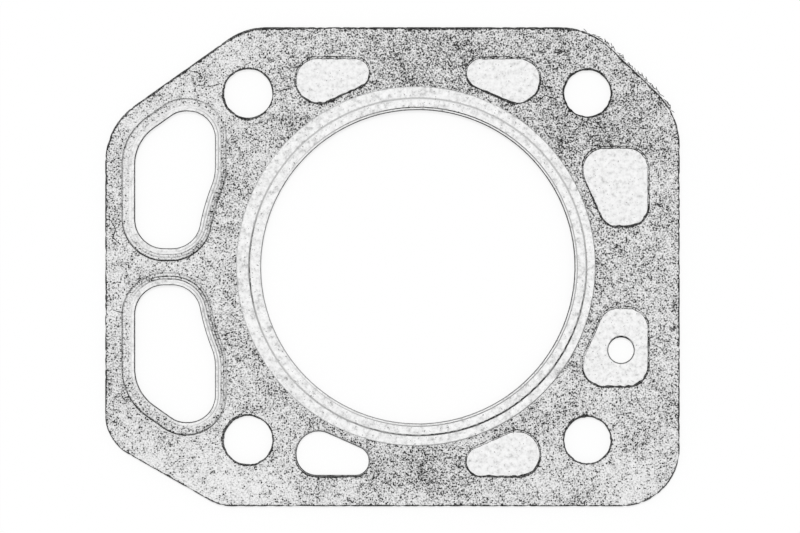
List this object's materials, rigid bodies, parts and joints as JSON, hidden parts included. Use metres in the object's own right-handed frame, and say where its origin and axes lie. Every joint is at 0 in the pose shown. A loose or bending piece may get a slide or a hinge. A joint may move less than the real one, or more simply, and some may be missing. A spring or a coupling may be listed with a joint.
{
  "type": "cylinder head gasket",
  "caption": "Flat composite head gasket with a folded steel fire ring, stud holes, eyeleted pushrod openings and coolant ports.",
  "frame": {"origin": "on the cylinder's axis, on the lower face of the fire ring, which lies on the engine block's deck", "axes": "+Z along the cylinder's axis from the block to the head, +X across the gasket away from the pushrod openings, +Y along the other stud line"},
  "size_m": [0.1507, 0.1256, 0.0019],
  "materials": {
    "core_steel": "cold-rolled, bright, light smudges",
    "composite_facing": "matt, light grey with dark graphite specks",
    "ring_steel": "tinned, satin, with a dark crease at the step",
    "insert_steel": "plain, hidden in the fold",
    "eyelet_steel": "tinned, satin, scuffed with facing dust"
  },
  "bodies": {
    "root": {"steel_core": "core_steel", "upper_facing": "composite_facing", "lower_facing": "composite_facing", "fire_ring": "ring_steel", "fire_ring_insert": "insert_steel", "rear_pushrod_eyelet": "eyelet_steel", "front_pushrod_eyelet": "eyelet_steel"}
  },
  "joints": []
}
